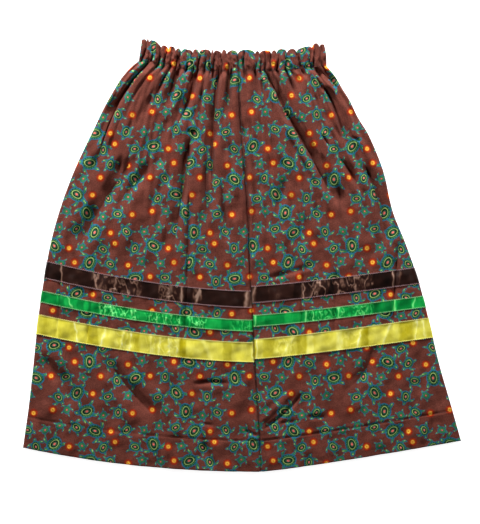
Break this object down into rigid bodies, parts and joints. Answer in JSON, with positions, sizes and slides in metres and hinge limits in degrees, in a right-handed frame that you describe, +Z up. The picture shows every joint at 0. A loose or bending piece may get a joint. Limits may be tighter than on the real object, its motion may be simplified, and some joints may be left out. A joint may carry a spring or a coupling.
{
  "type": "ribbon skirt",
  "caption": "Gathered cotton ribbon skirt with an elastic waist casing, satin ribbons above the hem and a centre seam, laid flat.",
  "frame": {"origin": "middle of the laid outline, on the surface that the skirt lies on", "axes": "+X to the right of the laid skirt, +Y to its waist, +Z up from the surface"},
  "size_m": [0.832, 0.8204, 0.014],
  "materials": {
    "printed_cotton": "matt woven cotton with a small print",
    "satin_brown": "satin ribbon",
    "satin_green": "satin ribbon",
    "satin_yellow": "satin ribbon",
    "sewing_thread": "polyester thread"
  },
  "bodies": {
    "root": {"panel_left": "printed_cotton", "panel_right": "printed_cotton", "casing_left": "printed_cotton", "casing_right": "printed_cotton", "ribbon_brown_left": "satin_brown", "ribbon_brown_right": "satin_brown", "ribbon_green_left": "satin_green", "ribbon_green_right": "satin_green", "ribbon_yellow_left": "satin_yellow", "ribbon_yellow_right": "satin_yellow"}
  },
  "joints": []
}
